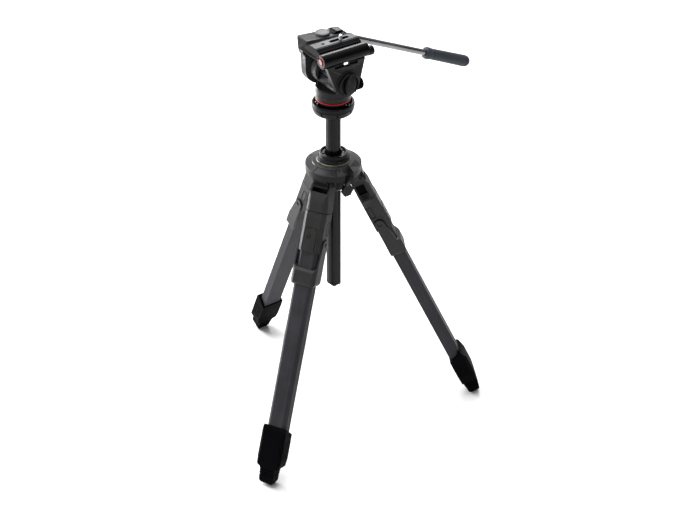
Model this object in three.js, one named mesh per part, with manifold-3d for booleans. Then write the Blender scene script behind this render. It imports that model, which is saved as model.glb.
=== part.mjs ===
// Camera tripod with a fluid video head: three folding, telescopic legs on a crown, a sliding
// centre column, and a pan and tilt head with a sliding camera plate and a pan bar.
// Millimetres, +Z up. The lens points along -Y and the pan bar reaches back along +Y.
import * as THREE from 'three';
import { mergeVertices } from 'three/addons/utils/BufferGeometryUtils.js';
import Module from 'manifold-3d';

const wasm = await Module();
wasm.setup();

// ---------------------------------------------------------------- driving dimensions
const PIN_RADIUS = 38.5;         // leg hinge pins, from the column axis
const PIN_Z = 530;               // leg hinge pins, above the floor
const SPREAD = 25;               // leg angle from vertical as it stands, degrees
const LEGS = { front: -60, right: 60, left: 180 };   // azimuth of each leg, degrees

const TUBE = { halfWidth: 19, inner: -8, outer: 16, chamfer: 6 };   // outer leg tube section
const TUBE_WALL = 1.5;
const SECTION_STEP = 2;          // each inner section is this much smaller all round
const SHELL = { halfWidth: 21.5, inner: -12.5, outer: 18.3, chamfer: 7 };  // leg mouldings
const LUG_HALF = 15.2;           // half the width of a crown lug
const LUG_ROUND = 9.8;           // round end of a lug about the hinge pin
const LEVER_PIVOT = { v: -1, u: 110 };

const RIM_RADIUS = 51.6;         // crown
const RIM_BOTTOM = 541.3;
const RIM_TOP = 553;
const COVER_TOP = 562;
const LOCK_Z = 533;              // column lock screw
const COLUMN_RADIUS = 13.85;
const COLUMN_BOTTOM = 286;
const BUTTON_Z = 296.6;            // spring button near the column's lower end
const CAP_TOP = COLUMN_BOTTOM + 5.5;   // shoulder of the plug in the column's lower end
const COLLAR_TOP = 578;
const RECEIVER_BOTTOM = 657.5;
const BASE_Z = 689.9;            // underside of the panning base
const TILT_Y = 3;                // tilt axis
const TILT_Z = 731;
const CLAMP_SCREW = [32, 776];   // plate clamping screw, x and z
const PLATE_TOP = 796;
const BAR_X = -67;               // pan bar, in the plane x = BAR_X
const BAR_PIVOT = { y: 46.4, z: 770.6 };
const BAR_DROP = 24.6;           // pan bar below horizontal, degrees
const BAR_LENGTH = 344;
const ROD_RADIUS = 5.9;

// ---------------------------------------------------------------- geometry helpers
function toSolid(geometry) {
  const bare = geometry.clone();
  bare.deleteAttribute('normal');
  bare.deleteAttribute('uv');
  const merged = mergeVertices(bare, 1e-4);
  const index = merged.index.array;
  const triangles = [];
  for (let i = 0; i < index.length; i += 3) {
    const [a, b, c] = [index[i], index[i + 1], index[i + 2]];
    if (a !== b && b !== c && c !== a) triangles.push(a, b, c);
  }
  const vertProperties = new Float32Array(merged.attributes.position.array);
  if (signedVolume(vertProperties, triangles) < 0) triangles.reverse();
  const triVerts = new Uint32Array(triangles);
  return new wasm.Manifold(new wasm.Mesh({ numProp: 3, vertProperties, triVerts }));
}

function signedVolume(positions, triangles) {
  const [a, b, c] = [new THREE.Vector3(), new THREE.Vector3(), new THREE.Vector3()];
  let sum = 0;
  for (let i = 0; i < triangles.length; i += 3) {
    a.fromArray(positions, triangles[i] * 3);
    b.fromArray(positions, triangles[i + 1] * 3);
    c.fromArray(positions, triangles[i + 2] * 3);
    sum += a.dot(b.cross(c)) / 6;
  }
  return sum;
}

function toGeometry(solid) {
  const mesh = solid.getMesh();
  const geometry = new THREE.BufferGeometry();
  geometry.setAttribute('position', new THREE.BufferAttribute(mesh.vertProperties, 3));
  geometry.setIndex(new THREE.BufferAttribute(mesh.triVerts, 1));
  geometry.computeVertexNormals();
  return geometry;
}

const join = (first, ...rest) => toGeometry(rest.reduce((s, g) => s.add(toSolid(g)), toSolid(first)));
const cut = (first, ...rest) => toGeometry(rest.reduce((s, g) => s.subtract(toSolid(g)), toSolid(first)));
const meet = (first, other) => toGeometry(toSolid(first).intersect(toSolid(other)));

function box(x, y, z) {
  const geometry = new THREE.BoxGeometry(x[1] - x[0], y[1] - y[0], z[1] - z[0]);
  return geometry.translate((x[0] + x[1]) / 2, (y[0] + y[1]) / 2, (z[0] + z[1]) / 2);
}

const shapeOf = (points) => new THREE.Shape(points.map(([x, y]) => new THREE.Vector2(x, y)));

// An outline in (x, y), extruded over the z range.
function prismZ(outline, z) {
  const settings = { depth: z[1] - z[0], bevelEnabled: false };
  return new THREE.ExtrudeGeometry(shapeOf(outline), settings).translate(0, 0, z[0]);
}

// An outline in (y, z), extruded over the x range.
function prismX(outline, x) {
  const turn = new THREE.Matrix4().makeBasis(
    new THREE.Vector3(0, 1, 0), new THREE.Vector3(0, 0, 1), new THREE.Vector3(1, 0, 0));
  return prismZ(outline, x).applyMatrix4(turn);
}

// An outline in (x, z), extruded over the y range.
function prismY(outline, y) {
  const turn = new THREE.Matrix4().makeBasis(
    new THREE.Vector3(1, 0, 0), new THREE.Vector3(0, 0, 1), new THREE.Vector3(0, -1, 0));
  return prismZ(outline, [-y[1], -y[0]]).applyMatrix4(turn);
}

const AXIS_TURN = { x: [0, 0, -Math.PI / 2], y: [0, 0, 0], z: [Math.PI / 2, 0, 0] };

// A round bar along one axis, between two values on it, centred at the other two coordinates.
function bar(axis, radius, range, centre, segments = 24) {
  const geometry = new THREE.CylinderGeometry(radius, radius, range[1] - range[0], segments);
  const [rx, , rz] = AXIS_TURN[axis];
  geometry.rotateX(rx).rotateZ(rz);
  const middle = (range[0] + range[1]) / 2;
  const place = { x: [middle, ...centre], y: [centre[0], middle, centre[1]], z: [...centre, middle] };
  return geometry.translate(...place[axis]);
}

// A turned piece about the Z axis from its [radius, height] profile.
function turned(profile, segments = 32) {
  const points = profile.map(([r, z]) => new THREE.Vector2(r, z));
  return new THREE.LatheGeometry(points, segments).rotateX(Math.PI / 2);
}

const ring = (outer, inner, z, segments) => turned(
  [[inner, z[0]], [outer, z[0]], [outer, z[1]], [inner, z[1]], [inner, z[0]]], segments);

// The points of an arc, in degrees, both ends included.
function arc(cx, cy, radius, from, to, steps) {
  return Array.from({ length: steps + 1 }, (_, i) => {
    const a = THREE.MathUtils.degToRad(from + (to - from) * i / steps);
    return [cx + radius * Math.cos(a), cy + radius * Math.sin(a)];
  });
}

// ---------------------------------------------------------------- scene helpers
const LOOKS = {
  casting: [0x35363a, 0.55, 0.25],
  moulding: [0x3a3b3b, 0.6, 0.0],
  tube: [0x34353a, 0.45, 0.1],
  column: [0x151516, 0.25, 0.5],
  rubber: [0x0c0c0d, 0.85, 0.0],
  black: [0x121213, 0.3, 0.3],
  knob: [0x1c1d1e, 0.6, 0.0],
  grey: [0x8c8c8c, 0.4, 0.5],
  steel: [0xb8b8ba, 0.25, 0.9],
  red: [0xc81418, 0.35, 0.2],
  gold: [0x8d8566, 0.35, 0.7],
  grip: [0x333a46, 0.8, 0.0],
};

function addNode(group, name, geometry, look) {
  const [color, roughness, metalness] = LOOKS[look];
  const material = new THREE.MeshStandardMaterial({ color, roughness, metalness });
  const mesh = new THREE.Mesh(join(geometry), material);
  mesh.name = name;
  group.add(mesh);
  return mesh;
}

// ---------------------------------------------------------------- legs
// A leg is drawn in its own frame: x is v, outward from the leg's face; y is w, along the
// hinge pin; z is -u, so u grows from the hinge pin down to the sole.
const along = (u0, u1) => [-u1, -u0];

// The flat-backed section shared by the tubes and mouldings, larger by `grow` all round.
function section({ halfWidth, inner, outer, chamfer }, grow = 0) {
  const [h, a, b, c] = [halfWidth + grow, inner - grow, outer + grow, chamfer + grow * 0.6];
  return [[a, -h], [b - c, -h], [b, c - h], [b, h - c], [b - c, h], [a, h]];
}

const inset = (steps) => section(TUBE, -SECTION_STEP * steps);

function legTube(steps, u0, u1) {
  const wall = prismZ(inset(steps), along(u0, u1));
  return cut(wall, prismZ(section(TUBE, -SECTION_STEP * steps - TUBE_WALL), along(u0 - 1, u1 + 1)));
}

function legHousing() {
  const side = [
    [SHELL.inner, -51.8], [SHELL.inner, -8], ...arc(0, 0, 10.7, 180, 20, 8),
    [12.5, -8], [17.8, -25], [SHELL.outer, -40], [SHELL.outer, -51.8],
  ];
  const front = [
    [-SHELL.halfWidth, -51.8], [-SHELL.halfWidth, -46], [-18.8, -14], [-18.8, 12],
    [18.8, 12], [18.8, -14], [SHELL.halfWidth, -46], [SHELL.halfWidth, -51.8],
  ];
  const blank = meet(prismY(side, [-22, 22]), prismX(front, [-13, 19]));
  const lower = prismZ(section(SHELL), along(-12, 60));
  return cut(meet(blank, lower),
    bar('y', 21.4, [-15.6, 15.6], [0, 0], 36),
    box([0, 20], [-15.6, 15.6], along(-12, 11)),
    box([-14, 0], [-15.6, 15.6], along(-12, 14)),
    prismZ(section(TUBE, 0.3), along(25.6, 60)),
    bar('y', 3.4, [-25, 25], [0, 0], 16),
    box([-8.4, 8.4], [-25, -20.2], along(18, 50)),
    box([-3, 3], [-25, -18.9], along(30, 48)));
}

const sideLatch = () => cut(
  join(box([-8, 8], [-22.6, -20.55], along(36, 49)), box([-2.6, 2.6], [-21, -19.35], along(38, 47))),
  ...[39.5, 42.5, 45.5].map((u) => box([-9, 9], [-23, -22], along(u, u + 1.2))));

function hingeBolt() {
  return join(bar('y', 3, [-19.4, 19.4], [0, 0], 16),
    bar('y', 5.4, [-20.9, -19.15], [0, 0], 12), bar('y', 5.4, [19.15, 20.9], [0, 0], 12));
}

function legCover() {
  const shell = prismZ(section(SHELL), along(52.2, 126));
  const panel = prismZ([[17, -12.5], [19, -12.5], [19.9, -11.5], [19.9, 11.5], [19, 12.5], [17, 12.5]],
    along(81, 126));
  const sideCut = (w) => prismY([...arc(LEVER_PIVOT.v, -LEVER_PIVOT.u, 9.8, 0, 180, 10),
    [LEVER_PIVOT.v - 9.8, -130], [LEVER_PIVOT.v + 9.8, -130]], w);
  const body = cut(join(shell, panel),
    prismZ(section(TUBE, 0.3), along(50, 130)),
    sideCut([20.7, 25]), sideCut([-25, -20.7]));
  const trunnion = (w) => bar('y', 3.4, w, [LEVER_PIVOT.v, -LEVER_PIVOT.u], 16);
  return join(body, trunnion([20, 23.6]), trunnion([-23.6, -20]));
}

// The yoke that unlocks the sections: two side arms and a finger band across the outer face.
function lockLever() {
  const { v, u } = LEVER_PIVOT;
  const side = [...arc(v, -u, 9, 0, 180, 10), [-10, -150], [-10.5, -177], [-7, -191], [15, -191],
    [20.8, -181.5], [20.8, -163], [17.5, -157.5], [14.5, -156], [12.5, -140]];
  const outline = section({ halfWidth: 24.8, inner: -12, outer: 20.8, chamfer: 6.5 });
  const blank = meet(prismY(side, [-25, 25]), prismZ(outline, along(90, 200)));
  const inside = section({ halfWidth: 19.7, inner: -14, outer: 16.7, chamfer: 6 });
  return cut(blank, prismZ(inside, along(150, 200)),
    box([-30, 30], [-21.8, 21.8], along(90, 157.2)),
    bar('y', 3.9, [-30, 30], [v, -u], 16));
}

function foot() {
  const side = [[-10.5, -480], [-10.8, -500], [-10, -545], [-7, -570], ...arc(1, -574, 9, 210, 270, 3),
    ...arc(8, -573, 10, -80, -20, 3), [21, -552], [24.2, -525], [24.2, -486], [20.5, -473], [17, -466]];
  const front = [[-22, -455], [-24.6, -478], [-25, -530], [-23, -545], [-15.5, -549], [-14.5, -575],
    [-10, -584], [10, -584], [14.5, -575], [15.5, -549], [23, -545], [25, -530], [24.6, -478], [22, -455]];
  const outline = section({ halfWidth: 25.5, inner: -12, outer: 25.5, chamfer: 8 });
  const upright = meet(prismY(side, [-26, 26]), prismX(front, [-13, 27]));
  const blank = meet(upright, prismZ(outline, along(440, 590)));
  return cut(blank, prismZ(section(TUBE, 0.6), along(430, 486)),
    prismZ(section(TUBE, -2 * SECTION_STEP + 0.3), along(480, 541.4)));
}

// The stop that sets the leg angle. It stays inside the sweep of the leg's top edge.
function angleTab() {
  const profile = [[10.6, -0.8], ...arc(0, 0, 16.9, -2.7, 38.3, 5), [10.6, 10.5]];
  return join(prismY(profile, [-14.8, 14.8]), box([-12, 11], [-7.5, 7.5], [5.6, 8.4]));
}

function addLeg(crownGroup, side, azimuth) {
  const leg = new THREE.Group();
  const a = THREE.MathUtils.degToRad(azimuth);
  leg.position.set(PIN_RADIUS * Math.cos(a), PIN_RADIUS * Math.sin(a), PIN_Z);
  leg.rotation.set(0, -THREE.MathUtils.degToRad(SPREAD), a, 'ZYX');
  crownGroup.add(leg);
  addNode(leg, `${side}_leg_housing`, legHousing(), 'moulding');
  addNode(leg, `${side}_leg_cover`, legCover(), 'moulding');
  addNode(leg, `${side}_hinge_bolt`, hingeBolt(), 'steel');
  addNode(leg, `${side}_side_latch`, sideLatch(), 'black');
  addNode(leg, `${side}_lock_lever`, lockLever(), 'moulding');
  addNode(leg, `${side}_outer_tube`, legTube(0, 26, 482), 'tube');
  addNode(leg, `${side}_middle_tube`, legTube(1, 40, 478), 'tube');
  addNode(leg, `${side}_lower_tube`, legTube(2, 60, 541), 'tube');
  addNode(leg, `${side}_foot`, foot(), 'rubber');
  const arm = new THREE.Group();
  arm.position.copy(leg.position);
  arm.rotation.z = a;
  crownGroup.add(arm);
  addNode(arm, `${side}_angle_tab`, angleTab(), 'black');
}

// ---------------------------------------------------------------- crown and column
function crown() {
  const hub = turned([[0, 505], [21.5, 505], [23.5, 508], [23.5, RIM_BOTTOM], [RIM_RADIUS, RIM_BOTTOM],
    [RIM_RADIUS, RIM_TOP], [0, RIM_TOP]], 48);
  const lugProfile = [[20, 541.6], [20, 516], [24, 519.5], ...arc(PIN_RADIUS, PIN_Z, LUG_ROUND, -100, 0, 7),
    [PIN_RADIUS + LUG_ROUND, 541.6]];
  let body = join(hub);
  for (const azimuth of Object.values(LEGS)) {
    const a = THREE.MathUtils.degToRad(azimuth);
    const lug = prismY(lugProfile, [-LUG_HALF, LUG_HALF]).rotateZ(a);
    const slot = box([PIN_RADIUS - 13, PIN_RADIUS + 12], [-8, 8], [PIN_Z + 5.1, PIN_Z + 8.9]).rotateZ(a);
    const hole = bar('y', 3.4, [-20, 20], [PIN_RADIUS, PIN_Z], 16).rotateZ(a);
    body = cut(join(body, lug), slot, hole);
  }
  return cut(body, bar('z', COLUMN_RADIUS + 0.65, [500, 560], [0, 0], 32),
    box([34, 60], [-9.5, 9.5], [535, 560]),
    bar('x', 4.5, [12, 30], [0, LOCK_Z], 16));
}

function crownCover() {
  const cone = turned([[19, 553.4], [RIM_RADIUS, 553.4], [RIM_RADIUS, 556], [31.5, COVER_TOP],
    [19, COVER_TOP], [19, 553.4]], 48);
  return cut(cone, box([34, 60], [-9.5, 9.5], [550, 570]));
}

const collarRing = () => ring(30.4, 26, [562.3, 563.5]);

const columnCollar = () => turned([[14.6, 554], [18.6, 554], [18.6, 562], [25.6, 562], [25.6, 563.9],
  [29.6, 563.9], [30, 565], [30, 569.6], [28.4, 570.6], [28.4, 571.6], [29.2, 572.6], [29.2, 576.4],
  [27.6, COLLAR_TOP], [19, COLLAR_TOP], [16.8, 573], [14.6, 572], [14.6, 554]]);

function lockScrew() {
  return join(bar('x', 3.9, [15, 40.6], [0, LOCK_Z], 16), bar('x', 5.2, [47.6, 49.4], [0, LOCK_Z], 6),
    bar('x', 2.6, [40, 48], [0, LOCK_Z], 12));
}

function columnLockLever() {
  const paddle = arc(0, LOCK_Z - 16, 12.6, 0, 300, 5);
  const stem = [[-4.6, LOCK_Z - 10], [4.6, LOCK_Z - 10], [5.6, LOCK_Z], [-5.6, LOCK_Z]];
  const blank = join(prismX(stem, [41, 47.2]), prismX(paddle, [42, 47.4]),
    bar('x', 7, [41, 47.2], [0, LOCK_Z], 20));
  return cut(blank, bar('x', 3, [35, 55], [0, LOCK_Z], 12));
}

// Three shallow flutes run down the column, so that it cannot turn in the crown.
function columnTube() {
  const flute = (azimuth) => box([COLUMN_RADIUS - 1.4, 20], [-1.7, 1.7], [250, 640])
    .rotateZ(THREE.MathUtils.degToRad(azimuth));
  const blank = bar('z', COLUMN_RADIUS, [CAP_TOP + 0.4, 665.6], [0, 0], 36);
  return cut(blank, bar('z', 11.8, [200, 700], [0, 0], 24), flute(-30), flute(90), flute(210),
    bar('y', 3, [5, 20], [0, BUTTON_Z], 16));
}

function columnFootCap() {
  const lobe = (x, from) => arc(x, COLUMN_BOTTOM + 6.2, 6.2, from, from + 120, 4);
  const scallop = [[-16, CAP_TOP + 1], [-16, CAP_TOP - 1.6], ...lobe(-6.6, 200), ...lobe(6.6, 220),
    [16, CAP_TOP - 1.6], [16, CAP_TOP + 1]];
  const round = bar('z', COLUMN_RADIUS, [COLUMN_BOTTOM - 5, CAP_TOP], [0, 0], 36);
  const blank = meet(round, prismX(scallop, [-20, 20]));
  const plug = bar('z', 11.4, [CAP_TOP - 2, CAP_TOP + 16], [0, 0], 24);
  return cut(join(blank, plug), bar('y', 3, [4, 20], [0, BUTTON_Z], 16));
}

const columnButton = () => bar('y', 2.5, [6, 15.4], [0, BUTTON_Z], 12);

// ---------------------------------------------------------------- head on the column
const headReceiver = () => turned([[0, 666], [14.4, 666], [14.4, RECEIVER_BOTTOM],
  [24, RECEIVER_BOTTOM], [30, 662], [30, 672], [26, 672], [26, 669], [0, 669]]);

function releaseRing() {
  const blank = turned([[30.5, 659.6], [31.8, 659.6], [35.4, 662.2], [37.3, 667], [38.5, 677], [37, 681],
    [34.4, 681], [34.4, 676], [30.5, 672], [30.5, 659.6]], 36);
  const notches = Array.from({ length: 6 }, (_, i) => box([36, 45], [-2.2, 2.2], [655, 674])
    .rotateZ(THREE.MathUtils.degToRad(60 * i + 10)));
  return cut(blank, ...notches);
}

// The fixed foot of the head: a spigot held in the receiver.
const headFoot = () => turned([[0, 669.4], [25.6, 669.4], [25.6, 673], [28.6, 674], [28.6, 681],
  [30.6, 683], [30.6, 685.7], [26, 685.7], [26, BASE_Z - 0.4], [0, BASE_Z - 0.4]]);

const redRing = () => ring(31.2, 26.4, [686.1, BASE_Z - 0.4]);

function panBody() {
  const base = turned([[0, BASE_Z], [31, BASE_Z], [32, BASE_Z + 1], [32, 710.5], [30.5, 712.5], [0, 712.5]]);
  const neck = box([-24, 24], [-14, 18], [706, TILT_Z]);
  const axisBar = (radius, x) => bar('x', radius, x, [TILT_Y, TILT_Z], 32);
  const rearBoss = box([6, 26], [10, 31.9], [700, 719]);
  return cut(join(base, neck, axisBar(22, [11, 32.2]), axisBar(15, [-24, 12]), rearBoss),
    axisBar(5.5, [-60, 60]),
    axisBar(24.9, [-50, -24.1]),
    bar('y', 3.6, [20, 40], [16, 710], 16));
}

const fluidCartridge = () => cut(bar('x', 24.5, [-40.6, -24.5], [TILT_Y, TILT_Z], 32),
  bar('x', 5.5, [-60, 60], [TILT_Y, TILT_Z], 20));

const tiltAxle = () => bar('x', 5, [-52, 41.4], [TILT_Y, TILT_Z], 20);

function panLockKnob() {
  const grip = bar('y', 11.5, [33.5, 48], [16, 710], 16);
  const waist = bar('y', 8, [32.4, 35], [16, 710], 16);
  return join(grip, waist, bar('y', 3.2, [21, 34], [16, 710], 12));
}

// ---------------------------------------------------------------- tilting cradle
const nearCheek = () => prismX([[-40, 771], ...arc(TILT_Y, TILT_Z, 25.5, 200, 340, 10), [39, 771]],
  [32.6, 41.6]);
const farCheek = () => prismX([[-35.5, 771], [-35.2, 765], [-30.5, 757],
  ...arc(TILT_Y, TILT_Z, 33, 180, 350, 12), [42, 771]], [-56, -41.4]);

function tiltCradle() {
  const deck = box([-56, 32], [-36, 42], [770, 782.6]);
  const farTop = prismX([[-35.8, 770], [-37.4, 792.5], [-36, 794.5], [43, 788], [45, 785], [45, 770]],
    [-56, -26]);
  const round = bar('y', 12.6, [-45, 49], [31, 780.6], 28);
  const channelWall = box([26.6, 33], [-44, 49], [776, 790]);
  const barLug = bar('x', 13.5, [-56, -42], [BAR_PIVOT.y, BAR_PIVOT.z], 24);
  const blank = join(deck, nearCheek(), farCheek(), farTop, barLug, round, channelWall);
  const fixedLip = prismY([[-26.2, 786.2], [-22.8, 790], [-22.8, 791], [-26.2, 791]], [-34, 40]);
  const channelled = join(cut(blank, box([-26, 26.4], [-60, 60], [783, 810])), fixedLip);
  return cut(channelled,
    box([26, 29.4], [-36, 40], [783.4, 792]),
    box([37, 50], [-24, 24], [765, 771.6]),
    box([28, 50], [-2, 9], [763.5, 771.6]),
    bar('x', 5.3, [-53, 60], [TILT_Y, TILT_Z], 20),
    bar('y', 6.4, [-50, -36.6], [31, 780.6], 20),
    bar('y', 4.4, [36, 60], CLAMP_SCREW, 16),
    bar('z', 13.4, [788.4, 800], [-41.5, 6], 28),
    box([-49, -30], [24, 43], [786.8, 800]),
    bar('x', 6.4, [-60, -50], [BAR_PIVOT.y, BAR_PIVOT.z], 20));
}

function tiltLockKnob() {
  const skirt = bar('x', 20.5, [42.2, 47.5], [TILT_Y, TILT_Z], 32);
  const wing = meet(box([46, 55], [TILT_Y - 6.5, TILT_Y + 6.5], [TILT_Z - 20, TILT_Z + 20]),
    bar('x', 17.5, [40, 60], [TILT_Y, TILT_Z], 32));
  return join(skirt, wing);
}

function clampKnob() {
  return join(bar('y', 4, [37, 50.4], CLAMP_SCREW, 12), bar('y', 8.6, [49.5, 61], CLAMP_SCREW, 12));
}

const releaseButton = () => join(bar('y', 5.9, [-47, -42], [31, 780.6], 20),
  bar('y', 3, [-43, -39], [31, 780.6], 12));

const clampJaw = () => prismY([[25.4, 783.8], [28, 783.8], [28, 790], [22.2, 790],
  [22.2, 789.2], [25.4, 785.6]], [-34, 38]);

function slidingPlate() {
  const profile = [[-25.4, 783.5], [25, 783.5], [25, 785.2], [21.6, 789], [20.4, 789.6], [20.4, 792],
    [9.5, PLATE_TOP], [-9.5, PLATE_TOP], [-20.4, 792], [-20.4, 789.6], [-22, 789], [-25.4, 785.2]];
  return cut(prismY(profile, [-42, 45]),
    box([-3.4, 3.4], [-7, 32], [780, 800]),
    box([-7, 7], [-7, 32], [780, 788.5]),
    bar('z', 2.4, [780, 800], [0, -20.5], 16));
}

function cameraScrew() {
  return join(bar('z', 3.1, [785, 803.5], [0, 16], 16), bar('z', 6.4, [784, 787.8], [0, 16], 20));
}

const bubbleLevel = () => turned([[0, 788.8], [13, 788.8], [13, 794.8], [12, 795.8], [0, 795.8]], 28)
  .translate(-41.5, 6, 0);

const accessoryBlock = () => prismX([[24.4, 787.2], [42.6, 787.2], [42.6, 793.6], [29, 795], [24.4, 792]],
  [-48.6, -30.4]);

// ---------------------------------------------------------------- pan bar
const barFrame = (geometry) => geometry.rotateX(-THREE.MathUtils.degToRad(BAR_DROP))
  .translate(0, BAR_PIVOT.y, BAR_PIVOT.z);

function panBarBracket() {
  const rosette = bar('x', 12.5, [-60.4, -56.4], [0, 0], 24);
  const block = join(bar('x', 10, [-74, -60], [0, 0], 20), box([-74, -60.2], [0, 22], [-9, 9]));
  return barFrame(cut(join(rosette, block),
    bar('y', ROD_RADIUS + 0.3, [6, 40], [BAR_X, 0], 20),
    bar('x', 3.6, [-80, -50], [0, 0], 16)));
}

const panBarKnob = () => barFrame(join(bar('x', 3.2, [-75, -51], [0, 0], 12),
  bar('x', 7.6, [-80, -74.4], [0, 0], 10)));

const panBarRod = () => barFrame(bar('y', ROD_RADIUS, [6.4, BAR_LENGTH - 40], [BAR_X, 0], 20));

function panBarGrip() {
  const length = 116;
  const end = BAR_LENGTH;
  const profile = [[0, 0], [9, 0], [11.2, 2], [11.6, 8], [10.6, 13], [10.9, 60], [11.3, 104],
    [10, 111], [6, 115], [0, length]];
  const grip = new THREE.LatheGeometry(profile.map(([r, y]) => new THREE.Vector2(r, y)), 24)
    .translate(BAR_X, end - length, 0);
  return barFrame(cut(grip, bar('y', ROD_RADIUS + 0.3, [end - length - 5, end - 39.6], [BAR_X, 0], 20)));
}

// ---------------------------------------------------------------- assembly
const tripod = new THREE.Group();
for (const [side, azimuth] of Object.entries(LEGS)) addLeg(tripod, side, azimuth);
const centreNodes = [
  ['crown', crown(), 'casting'], ['crown_cover', crownCover(), 'casting'],
  ['collar_trim_ring', collarRing(), 'gold'], ['column_collar', columnCollar(), 'casting'],
  ['column_lock_screw', lockScrew(), 'steel'], ['column_lock_lever', columnLockLever(), 'knob'],
  ['column_tube', columnTube(), 'column'], ['column_foot_cap', columnFootCap(), 'knob'],
  ['column_button', columnButton(), 'black'], ['head_receiver', headReceiver(), 'black'],
  ['head_release_ring', releaseRing(), 'knob'], ['head_foot', headFoot(), 'steel'],
  ['red_ring', redRing(), 'red'], ['pan_body', panBody(), 'casting'],
  ['fluid_cartridge', fluidCartridge(), 'casting'], ['tilt_axle', tiltAxle(), 'steel'],
  ['pan_lock_knob', panLockKnob(), 'rubber'], ['tilt_cradle', tiltCradle(), 'casting'],
  ['tilt_lock_knob', tiltLockKnob(), 'knob'], ['clamp_knob', clampKnob(), 'knob'],
  ['plate_release_button', releaseButton(), 'red'], ['clamp_jaw', clampJaw(), 'steel'],
  ['sliding_plate', slidingPlate(), 'black'], ['camera_screw', cameraScrew(), 'steel'],
  ['bubble_level', bubbleLevel(), 'grey'], ['accessory_block', accessoryBlock(), 'knob'],
  ['pan_bar_bracket', panBarBracket(), 'casting'], ['pan_bar_knob', panBarKnob(), 'knob'],
  ['pan_bar_rod', panBarRod(), 'steel'], ['pan_bar_grip', panBarGrip(), 'grip'],
];
for (const [name, geometry, look] of centreNodes) addNode(tripod, name, geometry, look);

// The origin is the middle of the footprint, on the floor.
const bounds = new THREE.Box3().setFromObject(tripod, true);
const middle = bounds.getCenter(new THREE.Vector3());
tripod.position.set(-middle.x, -middle.y, -bounds.min.z);

export default tripod;
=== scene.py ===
import bpy
import bmesh
import math
from mathutils import Matrix, Vector


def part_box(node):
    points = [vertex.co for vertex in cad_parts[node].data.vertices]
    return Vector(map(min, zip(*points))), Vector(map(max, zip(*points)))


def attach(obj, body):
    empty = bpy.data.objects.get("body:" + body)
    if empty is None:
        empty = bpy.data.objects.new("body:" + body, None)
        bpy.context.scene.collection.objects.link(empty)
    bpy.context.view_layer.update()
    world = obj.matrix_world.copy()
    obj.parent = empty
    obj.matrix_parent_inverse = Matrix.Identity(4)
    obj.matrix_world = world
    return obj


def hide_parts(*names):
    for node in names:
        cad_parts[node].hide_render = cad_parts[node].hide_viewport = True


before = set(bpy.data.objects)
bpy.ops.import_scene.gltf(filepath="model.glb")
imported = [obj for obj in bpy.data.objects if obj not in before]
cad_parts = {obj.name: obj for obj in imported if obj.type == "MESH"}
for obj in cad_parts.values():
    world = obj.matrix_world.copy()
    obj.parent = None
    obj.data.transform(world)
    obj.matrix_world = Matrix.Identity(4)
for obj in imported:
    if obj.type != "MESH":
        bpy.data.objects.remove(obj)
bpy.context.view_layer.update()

# ------------------------------------------------------------------ dimensions
MM = 0.001
SIDES = {"front": -60, "right": 60, "left": 180}
PIN_RADIUS, PIN_Z, SPREAD = 38.5, 530, 25
BOLT_HOLE = 3.4
BEVEL_ANGLE = 28
# A leg section is its half width, its back and front distance from the pin, and its corner chamfer.
TUBE = (19, -8, 16, 6)
SHELL = (21.5, -12.5, 18.3, 7)
LEVER_SHELL = (24.8, -12, 20.8, 6.5)
BOOT_SHELL = (25.5, -12, 25.5, 8)
TUBE_STEP, TUBE_WALL = 2, 1.5
COVER_START, COVER_END = 52.5, 126
PANEL_HALF, PANEL_TOP, PANEL_CORNER = 12.5, 81, 5
LEVER_V, LEVER_U = -1, 110
RIM_RADIUS, RIM_BOTTOM, RIM_TOP, COVER_TOP = 51.6, 541.3, 553, 562
PAD_RADIUS, PAD_AZIMUTH = 38.4, 38
LOCK_Z, BUTTON_Z, COLLAR_TOP = 533, 296.6, 578
COLUMN_RADIUS, COLUMN_BOTTOM = 13.85, 286
CAP_TOP = COLUMN_BOTTOM + 5.5
BASE_Z, TILT_Y, TILT_Z = 689.9, 3, 731
PAN_LOCK_X, PAN_LOCK_Z = 16, 710
AXLE_HOLE = 5.5
CLAMP_X, CLAMP_Z, CLAMP_RELIEF = 31, 780.6, 11
SCREW_X, SCREW_Z = 32, 776
LEVEL_X, LEVEL_Y = -41.5, 6
PLATE_TOP, STUD_Y = 796, 16
BAR_X, BAR_Y, BAR_Z, BAR_DROP, BAR_LENGTH, ROD_RADIUS = -67, 46.4, 770.6, 24.6, 344, 5.9

low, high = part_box("column_collar")
ORIGIN = Vector(((low.x + high.x) / 2, (low.y + high.y) / 2, high.z - COLLAR_TOP * MM))
HEAD = Matrix.Translation(ORIGIN)
BAR = HEAD @ Matrix.Translation(Vector((0, BAR_Y, BAR_Z)) * MM) @ Matrix.Rotation(
    -math.radians(BAR_DROP), 4, "X")


def leg_matrix(azimuth):
    pin = Matrix.Translation(Vector((PIN_RADIUS, 0, PIN_Z)) * MM)
    turn = Matrix.Rotation(math.radians(azimuth), 4, "Z")
    return HEAD @ turn @ pin @ Matrix.Rotation(-math.radians(SPREAD), 4, "Y")


def arm_matrix(azimuth):
    pin = Matrix.Translation(Vector((PIN_RADIUS, 0, PIN_Z)) * MM)
    return HEAD @ Matrix.Rotation(math.radians(azimuth), 4, "Z") @ pin


# ------------------------------------------------------------------ solids, in millimetres
def solid(vertices, faces):
    mesh = bpy.data.meshes.new("solid")
    mesh.from_pydata(vertices, [], faces)
    bm = bmesh.new()
    bm.from_mesh(mesh)
    bmesh.ops.recalc_face_normals(bm, faces=bm.faces)
    bm.to_mesh(mesh)
    bm.free()
    obj = bpy.data.objects.new("solid", mesh)
    bpy.context.scene.collection.objects.link(obj)
    return obj


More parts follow.
